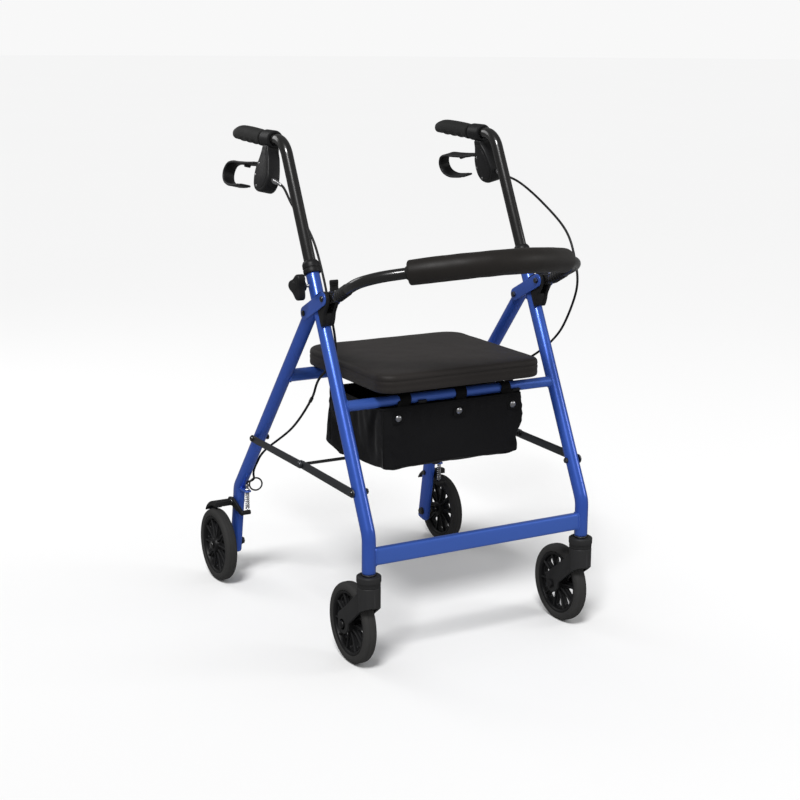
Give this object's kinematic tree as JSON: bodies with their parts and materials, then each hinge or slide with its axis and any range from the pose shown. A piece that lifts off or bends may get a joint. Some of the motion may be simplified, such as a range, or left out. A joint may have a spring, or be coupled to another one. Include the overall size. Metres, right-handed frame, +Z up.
{
  "type": "rollator walker",
  "caption": "Folding four-wheeled walking frame with swivelling front casters, padded seat with storage bag, curved padded backrest, height-adjustable handles and loop brakes.",
  "frame": {"origin": "on the floor, in the middle of the bounding box's width and length", "axes": "+Z up; -Y is the front, where the casters are; +X is the left-hand side of a person walking behind the handles"},
  "size_m": [0.5822, 0.775, 0.9465],
  "materials": {
    "blue_paint": "blue metallic powder coat, glossy",
    "black_paint": "black powder coat, glossy",
    "black_plastic": "moulded, lightly textured",
    "black_rubber": "soft grip rubber, matt",
    "tyre": "dark grey solid tyre, matt",
    "foam": "closed-cell foam, smooth skin",
    "seat_vinyl": "coated upholstery fabric, satin",
    "bag_fabric": "woven nylon, matt",
    "strut_steel": "flat steel bar, dark grey coat",
    "bright_steel": "zinc-plated, bright",
    "cable": "plastic cable sheath"
  },
  "bodies": {
    "frame": {"front_frame": "blue_paint", "storage_bag": "bag_fabric", "backrest_bracket_left": "black_plastic", "collar_left": "black_plastic", "fold_bolt_left": "black_paint", "backrest_bolt_left": "black_paint", "front_strut_bolt_left": "black_paint", "brake_cable_left": "cable", "backrest_bracket_right": "black_plastic", "collar_right": "black_plastic", "fold_bolt_right": "black_paint", "backrest_bolt_right": "black_paint", "front_strut_bolt_right": "black_paint", "brake_cable_right": "cable"},
    "rear": {"rear_frame": "blue_paint", "rear_axle_left": "bright_steel", "rear_strut_bolt_left": "black_paint", "shoe_bolt_left": "bright_steel", "brake_spring_left": "bright_steel", "rear_axle_right": "bright_steel", "rear_strut_bolt_right": "black_paint", "shoe_bolt_right": "bright_steel", "brake_spring_right": "bright_steel"},
    "brace_front": {"brace_yoke": "strut_steel"},
    "brace_rear": {"rear_strut_left": "strut_steel", "rear_strut_right": "strut_steel"},
    "seat": {"seat_base": "black_plastic", "seat_cushion": "seat_vinyl"},
    "backrest": {"backrest_bar": "black_paint", "backrest_pad": "foam"},
    "release_left": {"backrest_release_left": "black_plastic"},
    "handle_left": {"handle_tube_left": "black_paint", "grip_left": "black_rubber", "brake_housing_left": "black_plastic", "cable_adjuster_left": "bright_steel"},
    "lever_left": {"brake_lever_left": "black_plastic"},
    "knob_left": {"height_knob_left": "black_plastic"},
    "caster_left": {"caster_fork_left": "black_plastic", "caster_stem_left": "bright_steel", "caster_axle_left": "bright_steel"},
    "caster_wheel_left": {"caster_hub_left": "black_plastic", "caster_tyre_left": "tyre"},
    "rear_wheel_left": {"rear_hub_left": "black_plastic", "rear_tyre_left": "tyre"},
    "shoe_left": {"brake_shoe_left": "black_plastic"},
    "release_right": {"backrest_release_right": "black_plastic"},
    "handle_right": {"handle_tube_right": "black_paint", "grip_right": "black_rubber", "brake_housing_right": "black_plastic", "cable_adjuster_right": "bright_steel"},
    "lever_right": {"brake_lever_right": "black_plastic"},
    "knob_right": {"height_knob_right": "black_plastic"},
    "caster_right": {"caster_fork_right": "black_plastic", "caster_stem_right": "bright_steel", "caster_axle_right": "bright_steel"},
    "caster_wheel_right": {"caster_hub_right": "black_plastic", "caster_tyre_right": "tyre"},
    "rear_wheel_right": {"rear_hub_right": "black_plastic", "rear_tyre_right": "tyre"},
    "shoe_right": {"brake_shoe_right": "black_plastic"}
  },
  "joints": [
    {"name": "rear_fold", "type": "hinge", "parent": "frame", "child": "rear", "pos_m": [0, -0.05655, 0.62485], "axis": [-1, 0, 0], "range_deg": [0, 40], "deforming": ["storage_bag", "brake_cable_left", "brake_cable_right"]},
    {"name": "brace_front_fold", "type": "hinge", "parent": "frame", "child": "brace_front", "pos_m": [0, -0.24608, 0.331], "axis": [1, 0, 0], "range_deg": [0, 40.44]},
    {"name": "brace_rear_fold", "type": "hinge", "parent": "rear", "child": "brace_rear", "pos_m": [0, 0.17995, 0.3328], "axis": [-1, 0, 0], "range_deg": [0, 42.71]},
    {"name": "seat_flip", "type": "hinge", "parent": "frame", "child": "seat", "pos_m": [0, -0.17587, 0.47182], "axis": [1, 0, 0], "range_deg": [0, 90]},
    {"name": "backrest_fold", "type": "hinge", "parent": "frame", "child": "backrest", "pos_m": [0, -0.1328, 0.66287], "axis": [-1, 0, 0], "range_deg": [0, 90]},
    {"name": "release_tilt_left", "type": "hinge", "parent": "backrest", "child": "release_left", "pos_m": [0.23, -0.15048, 0.679], "axis": [1, 0, 0], "range_deg": [0, 12]},
    {"name": "handle_height_left", "type": "slide", "parent": "frame", "child": "handle_left", "axis": [0, 0.4462, 0.8949], "range_m": [-0.1, 0.025]},
    {"name": "lever_squeeze_left", "type": "hinge", "parent": "handle_left", "child": "lever_left", "pos_m": [0.2408, 0.11352, 0.88323], "axis": [0.9744, 0, 0.225], "range_deg": [0, 10]},
    {"name": "knob_turn_left", "type": "hinge", "parent": "frame", "child": "knob_left", "pos_m": [0.23, -0.07316, 0.67783], "axis": [1, 0, 0], "continuous": true},
    {"name": "caster_swivel_left", "type": "hinge", "parent": "frame", "child": "caster_left", "pos_m": [0.23, -0.28198, 0.187], "axis": [0, 0, 1], "continuous": true},
    {"name": "caster_roll_left", "type": "hinge", "parent": "caster_left", "child": "caster_wheel_left", "pos_m": [0.23, -0.21938, 0.076], "axis": [1, 0, 0], "continuous": true},
    {"name": "rear_roll_left", "type": "hinge", "parent": "rear", "child": "rear_wheel_left", "pos_m": [0.272, 0.31152, 0.076], "axis": [1, 0, 0], "continuous": true},
    {"name": "shoe_press_left", "type": "hinge", "parent": "rear", "child": "shoe_left", "pos_m": [0.23, 0.30152, 0.168], "axis": [-1, 0, 0], "range_deg": [0, 2], "deforming": ["brake_spring_left"]},
    {"name": "release_tilt_right", "type": "hinge", "parent": "backrest", "child": "release_right", "pos_m": [-0.23, -0.15048, 0.679], "axis": [1, 0, 0], "range_deg": [0, 12]},
    {"name": "handle_height_right", "type": "slide", "parent": "frame", "child": "handle_right", "axis": [0, 0.4462, 0.8949], "range_m": [-0.1, 0.025]},
    {"name": "lever_squeeze_right", "type": "hinge", "parent": "handle_right", "child": "lever_right", "pos_m": [-0.2408, 0.11352, 0.88323], "axis": [0.9744, 0, -0.225], "range_deg": [0, 10]},
    {"name": "knob_turn_right", "type": "hinge", "parent": "frame", "child": "knob_right", "pos_m": [-0.23, -0.07316, 0.67783], "axis": [1, 0, 0], "continuous": true},
    {"name": "caster_swivel_right", "type": "hinge", "parent": "frame", "child": "caster_right", "pos_m": [-0.23, -0.28198, 0.187], "axis": [0, 0, 1], "continuous": true},
    {"name": "caster_roll_right", "type": "hinge", "parent": "caster_right", "child": "caster_wheel_right", "pos_m": [-0.23, -0.21938, 0.076], "axis": [1, 0, 0], "continuous": true},
    {"name": "rear_roll_right", "type": "hinge", "parent": "rear", "child": "rear_wheel_right", "pos_m": [-0.272, 0.31152, 0.076], "axis": [1, 0, 0], "continuous": true},
    {"name": "shoe_press_right", "type": "hinge", "parent": "rear", "child": "shoe_right", "pos_m": [-0.23, 0.30152, 0.168], "axis": [-1, 0, 0], "range_deg": [0, 2], "deforming": ["brake_spring_right"]}
  ],
  "couplings": [
    {"joint": "brace_front_fold", "follows": "rear_fold", "ratio": 1.011},
    {"joint": "brace_rear_fold", "follows": "rear_fold", "ratio": 1.0675},
    {"joint": "shoe_press_left", "follows": "lever_squeeze_left", "ratio": 0.2},
    {"joint": "shoe_press_right", "follows": "lever_squeeze_right", "ratio": 0.2}
  ]
}
